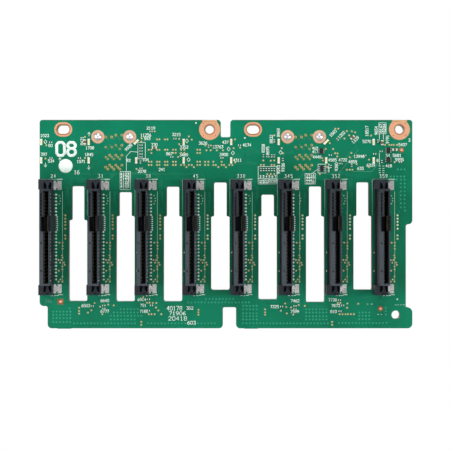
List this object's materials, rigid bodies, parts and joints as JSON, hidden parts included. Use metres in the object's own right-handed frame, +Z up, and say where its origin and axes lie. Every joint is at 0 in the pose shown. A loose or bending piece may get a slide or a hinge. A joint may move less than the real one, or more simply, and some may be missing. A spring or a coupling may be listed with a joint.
{
  "type": "drive backplane board",
  "caption": "Green drive backplane circuit board with a row of tall black drive sockets, air slots between them, indicator lamps and rear cable sockets.",
  "frame": {"origin": "midway between the two round fixing holes, on the drive-side face of the board", "axes": "+X to the right as seen from the drive side, +Z up towards the edge with the fixing holes, drive side facing -Y"},
  "size_m": [0.1396, 0.0213, 0.0786],
  "materials": {
    "laminate": "teal-green solder mask over glass-fibre laminate, satin",
    "copper": "bare copper with a clear protective film",
    "solder": "reflowed solder, satin to bright",
    "socket_plastic": "glass-filled black plastic, matte",
    "contact_metal": "thin gold plating, satin",
    "tinned_metal": "matte tin plating",
    "cage_steel": "plated sheet, satin",
    "rear_plastic": "black moulded plastic, matte",
    "chip_resin": "black moulded resin",
    "capacitor_ceramic": "brown fired ceramic",
    "lamp_resin": "translucent cream resin"
  },
  "bodies": {
    "root": {"circuit_board": "laminate", "screw_lands": "copper", "post_lands": "copper", "post_solder": "solder", "bay_0_socket_housing": "socket_plastic", "bay_0_socket_contacts": "contact_metal", "bay_0_socket_tabs": "tinned_metal", "bay_1_socket_housing": "socket_plastic", "bay_1_socket_contacts": "contact_metal", "bay_1_socket_tabs": "tinned_metal", "bay_2_socket_housing": "socket_plastic", "bay_2_socket_contacts": "contact_metal", "bay_2_socket_tabs": "tinned_metal", "bay_3_socket_housing": "socket_plastic", "bay_3_socket_contacts": "contact_metal", "bay_3_socket_tabs": "tinned_metal", "bay_4_socket_housing": "socket_plastic", "bay_4_socket_contacts": "contact_metal", "bay_4_socket_tabs": "tinned_metal", "bay_5_socket_housing": "socket_plastic", "bay_5_socket_contacts": "contact_metal", "bay_5_socket_tabs": "tinned_metal", "bay_6_socket_housing": "socket_plastic", "bay_6_socket_contacts": "contact_metal", "bay_6_socket_tabs": "tinned_metal", "bay_7_socket_housing": "socket_plastic", "bay_7_socket_contacts": "contact_metal", "bay_7_socket_tabs": "tinned_metal", "left_cable_socket_cage": "cage_steel", "left_cable_socket_insulator": "rear_plastic", "left_cable_socket_contacts": "contact_metal", "right_cable_socket_cage": "cage_steel", "right_cable_socket_insulator": "rear_plastic", "right_cable_socket_contacts": "contact_metal", "power_header_shroud": "rear_plastic", "power_header_pins": "tinned_metal", "controller_body": "chip_resin", "controller_leads": "tinned_metal", "upper_lamps": "lamp_resin", "lower_lamps": "lamp_resin", "lamp_terminals": "solder", "resistor_bodies": "chip_resin", "resistor_terminals": "solder", "capacitor_bodies": "capacitor_ceramic", "capacitor_terminals": "solder", "transistor_bodies": "chip_resin", "transistor_leads": "tinned_metal"}
  },
  "joints": []
}
